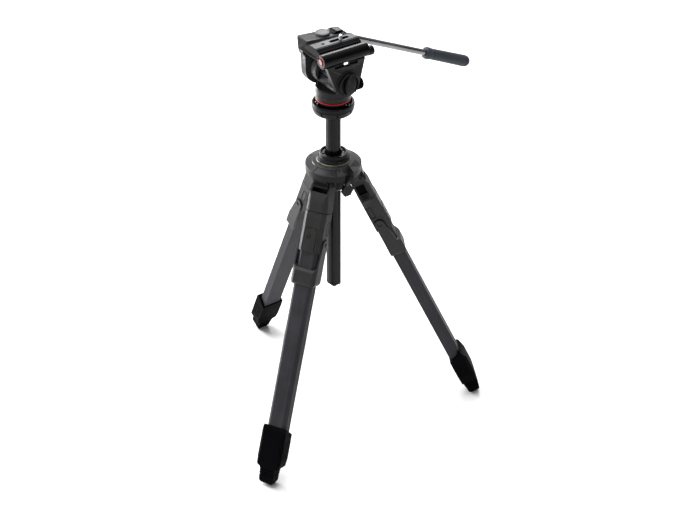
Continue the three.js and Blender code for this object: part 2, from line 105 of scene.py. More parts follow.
def prism(outline, span, place):
    n = len(outline)
    vertices = [place(a, b, c) for c in span for a, b in outline]
    sides = [(i, (i + 1) % n, n + (i + 1) % n, n + i) for i in range(n)]
    return solid(vertices, [tuple(range(n)), tuple(range(n, 2 * n)), *sides])


def prism_x(outline, x):
    return prism(outline, x, lambda a, b, c: (c, a, b))


def prism_y(outline, y):
    return prism(outline, y, lambda a, b, c: (a, c, b))


def prism_z(outline, z):
    return prism(outline, z, lambda a, b, c: (a, b, c))


def box(x, y, z):
    return prism_z([(x[0], y[0]), (x[1], y[0]), (x[1], y[1]), (x[0], y[1])], z)


def turned(profile, segments=96, axis="z", centre=(0, 0), start=0.0):
    """A piece of revolution from its (radius, height) profile, which may touch the axis."""
    rings, vertices = [], []
    for radius, height in profile:
        count = 1 if radius < 1e-6 else segments
        rings.append((len(vertices), count))
        for i in range(count):
            angle = 2 * math.pi * i / segments + start
            a, b = radius * math.cos(angle), radius * math.sin(angle)
            vertices.append({
                "x": (height, centre[0] + a, centre[1] + b),
                "y": (centre[0] + a, height, centre[1] + b),
                "z": (centre[0] + a, centre[1] + b, height),
            }[axis])
    faces = []
    closed = rings[0][1] > 1
    pairs = list(zip(rings, rings[1:] + rings[:1])) if closed else list(zip(rings, rings[1:]))
    for (first, m), (second, n) in pairs:
        for i in range(segments):
            j = (i + 1) % segments
            quad = [first + i % m, first + j % m, second + j % n, second + i % n]
            face = list(dict.fromkeys(quad))
            if len(face) > 2:
                faces.append(face)
    return solid(vertices, faces)


def bar(axis, radius, span, centre, segments=64, chamfer=0.0):
    lo, hi = span
    c = chamfer
    if c:
        profile = [(0, lo), (radius - c, lo), (radius, lo + c), (radius, hi - c), (radius - c, hi), (0, hi)]
    else:
        profile = [(0, lo), (radius, lo), (radius, hi), (0, hi)]
    return turned(profile, segments, axis, centre)


def arc(cx, cy, radius, start, end, steps):
    angles = [math.radians(start + (end - start) * i / steps) for i in range(steps + 1)]
    return [(cx + radius * math.cos(a), cy + radius * math.sin(a)) for a in angles]


def rounded_outline(x, y, radius, steps=6):
    corners = [(x[1] - radius, y[0] + radius, -90), (x[1] - radius, y[1] - radius, 0),
               (x[0] + radius, y[1] - radius, 90), (x[0] + radius, y[0] + radius, 180)]
    return [p for cx, cy, a in corners for p in arc(cx, cy, radius, a, a + 90, steps)]


def bake(obj):
    depsgraph = bpy.context.evaluated_depsgraph_get()
    mesh = bpy.data.meshes.new_from_object(obj.evaluated_get(depsgraph))
    old = obj.data
    obj.modifiers.clear()
    obj.data = mesh
    bpy.data.meshes.remove(old)
    return obj


def boolean(target, tools, operation):
    for tool in tools:
        modifier = target.modifiers.new("boolean", "BOOLEAN")
        modifier.operation = operation
        modifier.solver = "MANIFOLD"
        modifier.object = tool
    bake(target)
    for tool in tools:
        bpy.data.objects.remove(tool)
    return target


def join(first, *others):
    return boolean(first, others, "UNION")


def cut(first, *others):
    return boolean(first, others, "DIFFERENCE")


def meet(first, *others):
    return boolean(first, others, "INTERSECT")


def spun(obj, degrees, axis="Z"):
    obj.data.transform(Matrix.Rotation(math.radians(degrees), 4, axis))
    return obj


def moved(obj, x, y, z):
    obj.data.transform(Matrix.Translation((x, y, z)))
    return obj


def duplicate(obj):
    copy = bpy.data.objects.new("copy", obj.data.copy())
    bpy.context.scene.collection.objects.link(copy)
    return copy


def group(*objects):
    """Separate closed shells in one mesh."""
    bm = bmesh.new()
    for obj in objects:
        bm.from_mesh(obj.data)
    bm.to_mesh(objects[0].data)
    bm.free()
    for obj in objects[1:]:
        bpy.data.objects.remove(obj)
    return objects[0]


def soften(obj, bevel, segments):
    """Clean the faces, round the edges and weight the normals."""
    bm = bmesh.new()
    bm.from_mesh(obj.data)
    bmesh.ops.remove_doubles(bm, verts=bm.verts, dist=0.004)
    bmesh.ops.dissolve_limit(bm, angle_limit=math.radians(0.4), verts=bm.verts, edges=bm.edges)
    for face in bm.faces:
        face.smooth = True
    bm.to_mesh(obj.data)
    bm.free()
    if bevel:
        modifier = obj.modifiers.new("bevel", "BEVEL")
        modifier.width = bevel
        modifier.segments = segments
        modifier.limit_method = "ANGLE"
        modifier.angle_limit = math.radians(BEVEL_ANGLE)
        modifier.use_clamp_overlap = True
    weighted = obj.modifiers.new("normals", "WEIGHTED_NORMAL")
    weighted.keep_sharp = False
    weighted.weight = 80
    return bake(obj)


def place(obj, name, matrix, material, body, slot, replaces=(), bevel=0.5, segments=3):
    soften(obj, bevel, segments)
    obj.data.transform(Matrix.Scale(MM, 4))
    grain = obj.data.attributes.new("grain", "FLOAT_VECTOR", "POINT")
    for vertex, entry in zip(obj.data.vertices, grain.data):
        entry.vector = vertex.co
    obj.data.transform(matrix)
    obj.name = obj.data.name = name
    obj.data.materials.clear()
    obj.data.materials.append(material)
    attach(obj, body)
    if replaces:
        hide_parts(*replaces)
    return obj


# ------------------------------------------------------------------ materials
def material(name, color, rough, metal=0.0, grain=(900, 0.12), streak=None, vary=0.18,
             edge_wear_and_highlight=0.0, specular=0.5):
    """A finish with colour variation, fine grain or streaks in its bump, and lighter spotted edges that are
    partly wear and partly a painted edge highlight.
    """
    mat = bpy.data.materials.new(name)
    mat.use_nodes = True
    tree = mat.node_tree
    nodes, links = tree.nodes, tree.links
    shader = nodes["Principled BSDF"]
    shader.inputs["Metallic"].default_value = metal
    shader.inputs["Specular IOR Level"].default_value = specular
    coords = nodes.new("ShaderNodeAttribute")
    coords.attribute_name = "grain"

    def noise(scale, detail, stretch=(1, 1, 1)):
        mapping = nodes.new("ShaderNodeMapping")
        mapping.inputs["Scale"].default_value = stretch
        links.new(coords.outputs["Vector"], mapping.inputs["Vector"])
        texture = nodes.new("ShaderNodeTexNoise")
        texture.inputs["Scale"].default_value = scale
        texture.inputs["Detail"].default_value = detail
        links.new(mapping.outputs["Vector"], texture.inputs["Vector"])
        return texture.outputs["Fac"]

    def ranged(value, low, high):
        node = nodes.new("ShaderNodeMapRange")
        node.inputs["From Min"].default_value = 0.3
        node.inputs["From Max"].default_value = 0.7
        node.inputs["To Min"].default_value = low
        node.inputs["To Max"].default_value = high
        links.new(value, node.inputs["Value"])
        return node.outputs["Result"]

    def mixed(kind, factor, first, second):
        node = nodes.new("ShaderNodeMix")
        node.data_type = "RGBA"
        node.blend_type = kind
        for socket, value in ((node.inputs[0], factor), (node.inputs[6], first), (node.inputs[7], second)):
            if isinstance(value, bpy.types.NodeSocket):
                links.new(value, socket)
            else:
                socket.default_value = value
        return node.outputs[2]

    broad = noise(26, 3)
    fine = noise(grain[0], 2)
    darker, lighter = ((*[1 + change] * 3, 1) for change in (-vary, vary))
    tone = mixed("MULTIPLY", 1.0, (*color, 1), mixed("MIX", ranged(broad, 0, 1), darker, lighter))
    height = ranged(fine, 0, 1)
    if streak:
        lines = ranged(noise(streak[0], 3, streak[1]), 0, 1)
        lines_tone = mixed("MIX", lines, (0.62, 0.62, 0.64, 1), (1.35, 1.35, 1.36, 1))
        tone = mixed("MULTIPLY", streak[2], tone, lines_tone)
        height = lines
    # Lighter spotted edges found by pointiness: partly wear, partly a painted highlight along the edges.
    if edge_wear_and_highlight:
        geometry = nodes.new("ShaderNodeNewGeometry")
        edge = nodes.new("ShaderNodeMapRange")
        edge.inputs["From Min"].default_value = 0.53
        edge.inputs["From Max"].default_value = 0.62
        links.new(geometry.outputs["Pointiness"], edge.inputs["Value"])
        worn_and_highlit_edges = nodes.new("ShaderNodeMath")
        worn_and_highlit_edges.operation = "MULTIPLY"
        links.new(edge.outputs["Result"], worn_and_highlit_edges.inputs[0])
        links.new(ranged(noise(240, 4), 0.1, edge_wear_and_highlight), worn_and_highlit_edges.inputs[1])
        light = tuple(min(1, c * 2.2 + 0.06) for c in color)
        tone = mixed("MIX", worn_and_highlit_edges.outputs[0], tone, (*light, 1))
    links.new(tone, shader.inputs["Base Color"])
    links.new(ranged(broad, rough - 0.06, rough + 0.07), shader.inputs["Roughness"])
    bump = nodes.new("ShaderNodeBump")
    bump.inputs["Strength"].default_value = grain[1]
    bump.inputs["Distance"].default_value = 0.0004
    links.new(height, bump.inputs["Height"])
    links.new(bump.outputs["Normal"], shader.inputs["Normal"])
    return mat


MOULDING = material("moulding", (0.02, 0.02, 0.0195), 0.5, grain=(1500, 0.2), edge_wear_and_highlight=0.4, specular=0.2)
LEVER = material("lever_moulding", (0.019, 0.019, 0.0185), 0.5, grain=(1500, 0.2), edge_wear_and_highlight=0.3, specular=0.22)
TUBE_MAT = material("leg_tube", (0.031, 0.031, 0.0355), 0.6, grain=(600, 0.06),
                    streak=(420, (1, 1, 0.02), 0.4), edge_wear_and_highlight=0.2, specular=0.1)
RUBBER = material("boot_rubber", (0.0015, 0.0015, 0.002), 0.6, grain=(700, 0.3), vary=0.3, specular=0.02)
CASTING = material("head_casting", (0.01, 0.01, 0.0105), 0.4, grain=(1800, 0.2), edge_wear_and_highlight=0.45, specular=0.12)
CROWN = material("crown_casting", (0.019, 0.019, 0.0205), 0.33, grain=(1800, 0.16), edge_wear_and_highlight=0.4, specular=0.22)
DARK_CAST = material("dark_casting", (0.005, 0.005, 0.006), 0.5, grain=(1500, 0.2), specular=0.2)
BASE = material("turned_base", (0.009, 0.009, 0.0095), 0.25, metal=0.1, grain=(500, 0.05),
                streak=(900, (0.05, 0.05, 1), 0.25), edge_wear_and_highlight=0.3, specular=0.18)
GLOSS = material("gloss_black", (0.003, 0.003, 0.0035), 0.27, grain=(900, 0.04), vary=0.3, specular=0.12)
COLUMN = material("column_black", (0.005, 0.005, 0.0055), 0.2, grain=(500, 0.04),
                  streak=(700, (1, 1, 0.01), 0.2), specular=0.15)
KNOB = material("knob_plastic", (0.006, 0.006, 0.0065), 0.36, grain=(1300, 0.2), edge_wear_and_highlight=0.4, specular=0.12)
STEEL = material("bright_steel", (0.45, 0.45, 0.46), 0.3, metal=1.0, grain=(700, 0.05), vary=0.08)
DARK_STEEL = material("blackened_steel", (0.03, 0.03, 0.031), 0.35, metal=0.8, grain=(700, 0.06), vary=0.2)
# Grey of the plate's top strip: partly its own colour, partly a painted sheen from the top light.
STRIP_GREY_AND_SHEEN = material("plate_strip", (0.045, 0.05, 0.055), 0.4, grain=(1600, 0.15), specular=0.15)
DRUM = material("cartridge_drum", (0.09, 0.09, 0.09), 0.3, metal=0.4, grain=(700, 0.06), edge_wear_and_highlight=0.3)
PLATE = material("camera_plate", (0.004, 0.004, 0.0045), 0.3, grain=(900, 0.06), vary=0.3, specular=0.03)
RED = material("red_ring", (0.36, 0.003, 0.003), 0.3, grain=(900, 0.03), vary=0.08, specular=0.2)
PINK = material("button_face", (0.36, 0.27, 0.28), 0.4, grain=(900, 0.03), vary=0.06, specular=0.2)
GOLD = material("trim_gold", (0.16, 0.15, 0.1), 0.3, metal=0.7, grain=(900, 0.05))
DISC = material("level_disc", (0.11, 0.11, 0.11), 0.45, grain=(900, 0.04), vary=0.06, specular=0.15)
ROD = material("bar_rod", (0.22, 0.22, 0.23), 0.22, metal=0.9, grain=(600, 0.04),
               streak=(800, (1, 0.01, 1), 0.15))
GRIP = material("bar_grip", (0.034, 0.039, 0.05), 0.6, grain=(1100, 0.4), vary=0.15, specular=0.2)


# ------------------------------------------------------------------ legs
def along(u0, u1):
    """The span in a leg's z of what lies between two distances down the leg."""
    return (-u1, -u0)


def section(dims, grow=0.0):
    half, inner, outer, chamfer = dims
    h, a, b, c = half + grow, inner - grow, outer + grow, chamfer + grow * 0.6
    return [(a, -h), (b - c, -h), (b, c - h), (b, h - c), (b - c, h), (a, h)]


def rounded_section(dims, radius):
    """The moulded section: flat back, rounded shoulders and a slightly domed outer face."""
    half, inner, outer, _ = dims
    shoulder = arc(outer - 0.5 - radius, half - radius, radius, 0, 90, 8)
    left = [(v, -w) for v, w in reversed(shoulder)]
    return [(inner, -half), *left, (outer, -0.35 * half), (outer, 0.35 * half), *shoulder, (inner, half)]


def leg_tube(steps, u0, u1):
    outside = -TUBE_STEP * steps
    return cut(prism_z(section(TUBE, outside), along(u0, u1)),
               prism_z(section(TUBE, outside - TUBE_WALL), along(u0 - 1, u1 + 1)))


def leg_housing():
    half, inner, outer, _ = SHELL
    side = [(inner, -51.8), (inner, -8), *arc(0, 0, 10.7, 180, 20, 20),
            (12.5, -8), (17.8, -25), (outer, -40), (outer, -51.8)]
    front = [(-half, -51.8), (-half, -46), (-18.8, -14), (-18.8, 12),
             (18.8, 12), (18.8, -14), (half, -46), (half, -51.8)]
    blank = meet(prism_y(side, (-22, 22)), prism_x(front, (-13, 19)),
                 prism_z(rounded_section(SHELL, 11), along(-12, 60)))
    back_lip = box((-12.4, -11.2), (-15.8, 15.8), along(11.6, 18))
    body = cut(blank,
               bar("y", 21.4, (-15.6, 15.6), (0, 0), 96),
               box((0, 20), (-15.6, 15.6), along(-12, 11)),
               box((-14, 0), (-15.6, 15.6), along(-12, 14)),
               prism_z(section(TUBE, 0.3), along(25.6, 60)),
               box((-30, 30), (-30, 30), along(51.2, 60)),
               bar("y", BOLT_HOLE, (-25, 25), (0, 0), 32),
               box((-8.4, 8.4), (-25, -20.2), along(18, 50)),
               box((-3, 3), (-25, -18.9), along(30, 48)),
               box((6, 11), (-25, -17), along(-1, 6)))
    return join(body, back_lip)


def side_latch():
    body = join(box((-8, 8), (-22.6, -20.55), along(36, 49)),
                box((-2.6, 2.6), (-21, -19.35), along(38, 47)))
    return cut(body, *[box((-6, 5), (-23, -21.2), along(u, u + 1.4)) for u in (38.6, 42.2, 45.8)])


# A near-black sheet lining the floor of the latch recess: painted shade in the recess.
def latch_recess_shade_liner():
    return box((-8.3, 8.3), (-20.4, -20.25), along(18.1, 49.9))


def hinge_bolt():
    head = [(0, 19.15), (5.4, 19.15), (5.4, 20.4), (4.9, 20.9), (0, 20.9)]
    near = turned([(r, -y) for r, y in head], 64, "y")
    far = turned(head, 64, "y")
    hexes = [turned([(0, 19.9), (2.4, 19.9), (2.4, 22), (0, 22)], 6, "y"),
             turned([(0, -19.9), (2.4, -19.9), (2.4, -22), (0, -22)], 6, "y")]
    return cut(join(bar("y", 3, (-19.4, 19.4), (0, 0), 32), near, far), *hexes)


def side_groove(side):
    outer = rounded_outline((-11, 0), (-94, -68), 2.8)
    inner = rounded_outline((-9.4, -1.6), (-92.4, -69.6), 1.5)
    span = (19.9, 23) if side > 0 else (-23, -19.9)
    return cut(prism_y(outer, span), prism_y(inner, (-24, 24)))


def panel_outline(inset, top, corner):
    """The raised panel seen from in front: open below the cover, with two rounded corners on top."""
    half = PANEL_HALF - inset
    inner = half - corner
    return [(-half, -130), (-half, top - corner), *arc(-inner, top - corner, corner, 180, 90, 6),
            *arc(inner, top - corner, corner, 90, 0, 6), (half, -130)]


def leg_cover():
    shell = prism_z(section(SHELL), along(COVER_START, COVER_END))
    panel = meet(prism_x(panel_outline(0, -PANEL_TOP, PANEL_CORNER), (14, 19.3)),
                 box((14, 22), (-20, 20), along(78, COVER_END)))
    outline = cut(prism_x(panel_outline(0, -PANEL_TOP, PANEL_CORNER), (18.1, 22)),
                  prism_x(panel_outline(1.3, -PANEL_TOP - 1.3, PANEL_CORNER - 0.8), (10, 24)))
    ring = turned([(2.4, 17.9), (3.7, 17.9), (3.7, 21), (2.4, 21)], 48, "x", (-2.5, -98))
    notch = [*arc(LEVER_V, -LEVER_U, 11.4, 0, 180, 24), (LEVER_V - 11.4, -130), (LEVER_V + 11.4, -130)]
    body = cut(join(shell, panel), prism_z(section(TUBE, 0.3), along(50, 130)),
               prism_y(notch, (20.1, 25)), prism_y(notch, (-25, -20.1)),
               side_groove(1), side_groove(-1), ring, outline)
    return join(body, *[bar("y", 3.4, span, (LEVER_V, -LEVER_U), 48) for span in ((20, 23.6), (-23.6, -20))])


def lock_lever():
    v, u = LEVER_V, LEVER_U
    side = [*arc(v, -u, 9, 0, 180, 24), (-10, -150), (-10.5, -177), *arc(-5, -186, 5, 190, 265, 5),
            (15, -191), *arc(16, -184, 5, 300, 350, 4), (20.8, -163), (17.5, -157.5), (14.5, -156),
            (12.5, -140)]
    front = [(-25, -90), (-25, -180), *arc(-15, -181, 10, 180, 265, 8), *arc(15, -181, 10, 275, 360, 8),
             (25, -90)]
    window = [(-21.8, -80), (-21.8, -151.2), *arc(-15.8, -151.2, 6, 180, 270, 6),
              *arc(15.8, -151.2, 6, 270, 360, 6), (21.8, -80)]
    blank = meet(prism_y(side, (-25, 25)), prism_z(section(LEVER_SHELL), along(90, 200)),
                 prism_x(front, (-20, 30)))
    return cut(blank, prism_z(section((19.7, -14, 16.7, 6)), along(150, 200)),
               prism_x(window, (-30, 30)),
               bar("y", 3.9, (-30, 30), (v, -u), 48))


def foot():
    side = [(-10.5, -480), (-10.8, -500), (-10, -545), (-7, -570), *arc(1, -574, 9, 210, 270, 6),
            *arc(7.6, -573, 10, -80, -20, 6), (20.6, -552), (24.2, -525), (24.2, -486), (20.5, -473),
            (17, -466)]
    right = [(10, -584), (14.5, -575), (15.5, -549), (23, -545), (25, -530), (24.6, -478), (22, -455)]
    front = [(-w, z) for w, z in reversed(right)] + right
    blank = meet(prism_y(side, (-26, 26)), prism_x(front, (-13, 27)),
                 prism_z(section(BOOT_SHELL), along(440, 590)))
    ribs = [box((-30, 30), (-30, 30), along(u, u + 1.3)) for u in (553, 558, 563)]
    core = prism_z(section((14, -6, 14, 5)), along(548, 568))
    scored = cut(blank, *[cut(rib, duplicate(core)) for rib in ribs])
    bpy.data.objects.remove(core)
    flutes = [box((v, v + 1.4), (w, w + 3), along(492, 526)) for v in (-4, 2, 8, 14) for w in (-26.6, 23.6)]
    return cut(scored, prism_z(section(TUBE, 0.6), along(430, 486)),
               prism_z(section(TUBE, -3.7), along(480, 541.4)), *flutes)


def angle_tab():
    profile = [(10.6, -0.8), *arc(0, 0, 16.9, -2.7, 38.3, 14), (10.6, 10.5)]
    return join(prism_y(profile, (-14.8, 14.8)), box((-12, 11), (-7.5, 7.5), (5.6, 8.4)))


def build_leg(side, azimuth):
    matrix = leg_matrix(azimuth)

    def put(make, part, mat, body, slot, bevel, segments=3):
        name = f"{side}_{part}"
        place(make(), f"{name}_detail", matrix, mat, f"{side}_{body}", slot, [name], bevel, segments)

    put(leg_housing, "leg_housing", MOULDING, "leg", "moulding", 0.9)
    put(leg_cover, "leg_cover", MOULDING, "leg", "moulding", 0.8)
    put(hinge_bolt, "hinge_bolt", DARK_STEEL, "leg", "steel", 0.25)
    put(side_latch, "side_latch", GLOSS, "side_latch", "black_trim", 0.35)
    # The near-black recess liner is painted shade in the latch recess.
    place(latch_recess_shade_liner(), f"{side}_latch_recess_shade_liner", matrix, RUBBER, f"{side}_leg", "moulding", (), 0)
    put(lock_lever, "lock_lever", LEVER, "lock_lever", "moulding", 1.1, 4)
    put(lambda: leg_tube(0, 26, 482), "outer_tube", TUBE_MAT, "leg", "tube", 0.6)
    put(lambda: leg_tube(1, 40, 478), "middle_tube", TUBE_MAT, "middle_section", "tube", 0.6)
    put(lambda: leg_tube(2, 60, 541), "lower_tube", TUBE_MAT, "lower_section", "tube", 0.6)
    put(foot, "foot", RUBBER, "lower_section", "rubber", 1.8, 4)
    place(angle_tab(), f"{side}_angle_tab_detail", arm_matrix(azimuth), GLOSS, f"{side}_angle_tab",
          "black_trim", [f"{side}_angle_tab"], 1.2, 4)


# ------------------------------------------------------------------ crown and column
def lever_pocket(z):
    return box((34, 60), (-9.5, 9.5), z)


def crown():
    body = turned([(0, 505), (21.5, 505), (23.5, 508), (23.5, RIM_BOTTOM), (RIM_RADIUS, RIM_BOTTOM),
                   (RIM_RADIUS, RIM_TOP), (0, RIM_TOP)], 144)
    lug_profile = [(20, 541.6), (20, 516), (24, 519.5), *arc(PIN_RADIUS, PIN_Z, 9.8, -100, 0, 20),
                   (PIN_RADIUS + 9.8, 541.6)]
    for azimuth in SIDES.values():
        ribs = [spun(bar("y", 1.1, (-15.2, 15.2), (PIN_RADIUS + 9.6, PIN_Z + height), 16), azimuth)
                for height in (2, 7.5)]
        body = join(body, spun(prism_y(lug_profile, (-15.2, 15.2)), azimuth), *ribs)
        tab_slot = box((PIN_RADIUS - 13, PIN_RADIUS + 12), (-8, 8), (PIN_Z + 5.1, PIN_Z + 8.9))
        bolt_hole = bar("y", BOLT_HOLE, (-20, 20), (PIN_RADIUS, PIN_Z), 32)
        body = cut(body, spun(tab_slot, azimuth), spun(bolt_hole, azimuth))
    return cut(body, bar("z", COLUMN_RADIUS + 0.65, (500, 560), (0, 0), 96), lever_pocket((535, 560)),
               bar("x", 4.5, (12, 30), (0, LOCK_Z), 32))


def crown_cover():
    cone = turned([(19, 553.4), (RIM_RADIUS, 553.4), (RIM_RADIUS, 555.8), (50.9, 556.4), (39.2, 559.8),
                   (38.7, 560.9), (32.4, 562.7), (31.6, 562.5), (31.5, COVER_TOP), (19, COVER_TOP)], 144)
    seams = [spun(box((38.9, 56), (-0.8, 0.8), (554, 564)), azimuth + turn)
             for azimuth in SIDES.values() for turn in (-19, 32)]
    well = turned([(0, 552), (10.4, 552), (10.4, 561), (0, 561)], 64)
    return cut(cone, lever_pocket((550, 570)), *seams, spun(moved(well, PAD_RADIUS, 0, 0), PAD_AZIMUTH))


def cover_pad():
    """The dark inset on top of the cover, beside the lever pocket."""
    pad = turned([(0, 553.5), (10.1, 553.5), (10.1, 558.6), (9.2, 559.6), (0, 559.9)], 64)
    slope = turned([(0, 553), (50.8, 553), (50.8, 556.2), (30, 562.4), (0, 562.4)], 96)
    return meet(spun(moved(pad, PAD_RADIUS, 0, 0), PAD_AZIMUTH), slope)


def collar_trim_ring():
    return turned([(26, 562.3), (31.2, 562.8), (31.4, 563.4), (31, 564.8), (30.3, 565.2), (30.3, 563.6),
                   (26, 563.6)], 128)


def column_collar():
    lower = [(14.6, 554), (18.6, 554), (18.6, 562), (25.6, 562), (25.6, 563.9), (29.6, 563.9), (30, 565),
             (30, 568.6), (28.6, 570), (26.2, 570.6), (25.4, 571.8)]
    upper = [(26, 573.2), (26, 576.4), (25, COLLAR_TOP), (22.6, COLLAR_TOP), (22, 576), (22, 573.4),
             (20.4, 573.4), (20.4, 575.6), (19.6, 576), (16.4, 576), (14.6, 574)]
    body = turned(lower + upper, 128)
    notches = [spun(box((12, 20.6), (-1.8, 1.8), (571.5, 580)), a) for a in (-104, -44, 16, 76, 136, 196)]
    return cut(body, *notches)


def lock_screw():
    nut = turned([(0, 47.6), (5.2, 47.6), (5.2, 49.4), (0, 49.4)], 6, "x", (0, LOCK_Z))
    return join(bar("x", 3.9, (15, 40.6), (0, LOCK_Z), 32), nut, bar("x", 2.6, (40, 48), (0, LOCK_Z), 24))


def column_lock_lever():
    paddle = arc(0, LOCK_Z - 16, 12.6, 0, 300, 5)
    stem = [(-4.6, LOCK_Z - 10), (4.6, LOCK_Z - 10), (5.6, LOCK_Z), (-5.6, LOCK_Z)]
    blank = join(prism_x(stem, (41, 47.2)), prism_x(paddle, (42, 47.4)),
                 bar("x", 7, (41, 47.2), (0, LOCK_Z), 48))
    return cut(blank, bar("x", 3, (35, 55), (0, LOCK_Z), 24))


def column_tube():
    flutes = [spun(box((COLUMN_RADIUS - 1.7, 20), (-1.5, 1.5), (250, 650)), a) for a in range(-44, 316, 60)]
    return cut(bar("z", COLUMN_RADIUS, (CAP_TOP + 0.4, 665.6), (0, 0), 96),
               bar("z", 11.8, (200, 700), (0, 0), 64), *flutes, bar("y", 3, (5, 20), (0, BUTTON_Z), 32))


def column_foot_cap():
    lobe = COLUMN_BOTTOM + 6.2
    scallop = [(-16, CAP_TOP + 1), (-16, CAP_TOP - 1.6), *arc(-6.6, lobe, 6.2, 200, 320, 10),
               *arc(6.6, lobe, 6.2, 220, 340, 10), (16, CAP_TOP - 1.6), (16, CAP_TOP + 1)]
    blank = meet(bar("z", COLUMN_RADIUS, (COLUMN_BOTTOM - 5, CAP_TOP), (0, 0), 96),
                 prism_x(scallop, (-20, 20)))
    body = join(blank, bar("z", 11.4, (CAP_TOP - 2, CAP_TOP + 16), (0, 0), 64))
    return cut(body, bar("y", 3.2, (1.5, 20), (0, BUTTON_Z), 32))


def column_button():
    return turned([(0, 6), (2.5, 6), (2.5, 14.6), (1.8, 15.3), (0, 15.4)], 32, "y", (0, BUTTON_Z))


def build_centre():
    def put(obj, part, mat, body, slot, bevel, segments=3):
        place(obj, f"{part}_detail", HEAD, mat, body, slot, [part], bevel, segments)

    put(crown(), "crown", CASTING, "crown_body", "casting", 0.7)
    put(crown_cover(), "crown_cover", CROWN, "crown_body", "casting", 0.6)
    put(collar_trim_ring(), "collar_trim_ring", GOLD, "crown_body", "gold", 0.2)
    place(cover_pad(), "crown_cover_pad", HEAD, KNOB, "crown_body", "casting", (), 0.5)
    put(column_collar(), "column_collar", CASTING, "crown_body", "casting", 0.4)
    put(lock_screw(), "column_lock_screw", DARK_STEEL, "column_lock", "steel", 0.3)
    put(column_lock_lever(), "column_lock_lever", KNOB, "column_lock", "knob", 1.0, 4)
    put(column_tube(), "column_tube", COLUMN, "column", "column_black", 0.3)
    put(column_foot_cap(), "column_foot_cap", KNOB, "column", "knob", 0.8, 4)
    put(column_button(), "column_button", DARK_STEEL, "column_button", "steel", 0.0)


# ------------------------------------------------------------------ head
def axis_bar(radius, x, segments=96, chamfer=0.0):
    return bar("x", radius, x, (TILT_Y, TILT_Z), segments, chamfer)


def release_ring():
    blank = turned([(30.5, 659.6), (31.8, 659.6), (35.4, 662.2), (37.3, 667), (38.0, 672.4), (38.5, 673.2),
                    (38.5, 678), (37.8, 680.2), (37, 681), (34.4, 681), (34.4, 676), (30.5, 672)], 144)
    gaps = [spun(box((33.0, 45), (-1.7, 1.7), (650, 672)), -22.3 + 45 * i) for i in range(8)]
    groove = turned([(36.4, 671.8), (40, 671.8), (40, 673.2), (36.4, 673.2)], 144)
    return cut(blank, groove, *gaps)


def ring_pins():
    pin = [(0, 29), (1.5, 29), (1.5, 32.9), (1.0, 33.4), (0, 33.5)]
    return group(*[spun(turned(pin, 24, "x", (0, 684)), azimuth) for azimuth in (-104, -91, 11)])


def pan_base():
    return turned([(0, BASE_Z), (31, BASE_Z), (32, BASE_Z + 1), (32, 700.2), (31.6, 700.6), (31.6, 701.2),
                   (32, 701.6), (32, 710.5), (30.5, 712.5), (0, 712.5)], 144)


def pan_yoke():
    body = join(axis_bar(22, (11, 32.2), chamfer=1.2), box((6, 26), (10, 31.9), (700, 719)))
    return cut(body, axis_bar(AXLE_HOLE, (-60, 60)), bar("y", 3.6, (20, 40), (PAN_LOCK_X, PAN_LOCK_Z), 32))


def pan_neck():
    body = join(box((-24, 24), (-14, 18), (706, TILT_Z)), axis_bar(15, (-24, 12)))
    return cut(body, axis_bar(AXLE_HOLE, (-60, 60)))


def cartridge():
    body = turned([(0, -40.6), (22.4, -40.6), (24.5, -38.5), (24.5, -34.4), (23.7, -33.8), (23.7, -32.6),
                   (24.5, -32), (24.5, -26), (23, -24.5), (0, -24.5)], 128, "x", (TILT_Y, TILT_Z))
    return cut(body, axis_bar(AXLE_HOLE, (-60, 60)))


def pan_lock_knob():
    centre = (PAN_LOCK_X, PAN_LOCK_Z)
    profile = [(0, 33.5), (9.5, 33.5), (11.5, 35.5), (11.5, 46.4), (10, 48), (0, 48)]
    flutes = [moved(spun(bar("y", 2.2, (34, 50), (12.6, 0), 24), 45 * i, "Y"), PAN_LOCK_X, 0, PAN_LOCK_Z)
              for i in range(8)]
    grip = cut(turned(profile, 96, "y", centre), *flutes)
    return join(grip, bar("y", 8, (32.4, 35), centre, 64), bar("y", 3.2, (21, 34), centre, 32))


def cheek_window():
    return [box((37, 50), (-24, 24), (765, 771.6)), box((28, 50), (-2, 9), (763.5, 771.6))]


def near_cheek():
    plate = prism_x([(-40, 771), *arc(TILT_Y, TILT_Z, 25.5, 200, 340, 36), (39, 771)], (32.6, 41.6))
    rim = [(20.9, 40), (24.2, 40), (24.2, 42.6), (23.4, 43.4), (21.6, 43.4), (20.9, 42.6)]
    collar = turned(rim, 96, "x", (TILT_Y, TILT_Z))
    return cut(join(plate, collar), *cheek_window(), axis_bar(5.3, (-53, 60)))


def far_side():
    cheek = prism_x([(-35.5, 771), (-35.2, 765), (-30.5, 757), *arc(TILT_Y, TILT_Z, 33, 180, 350, 48),
                     (42, 771)], (-56, -41.4))
    top = prism_x([(-35.8, 770), (-37.4, 792.5), (-36, 794.5), (43, 788), (45, 785), (45, 770)], (-56, -26))
    deck = box((-56, 32), (-36, 42), (770, 782.6))
    lug = bar("x", 13.5, (-56, -42), (BAR_Y, BAR_Z), 96)
    lip = prism_y([(-26.2, 786.2), (-22.8, 790), (-22.8, 791), (-26.2, 791)], (-34, 40))
    return cut(join(deck, cheek, top, lug, lip),
               bar("x", 5.3, (-60, 60), (TILT_Y, TILT_Z), 48),
               bar("y", CLAMP_RELIEF, (-60, 60), (CLAMP_X, CLAMP_Z), 64),
               bar("z", 13.4, (788.4, 800), (LEVEL_X, LEVEL_Y), 96),
               box((-49, -30), (24, 43), (786.8, 800)),
               bar("x", 6.4, (-60, -50), (BAR_Y, BAR_Z), 48))


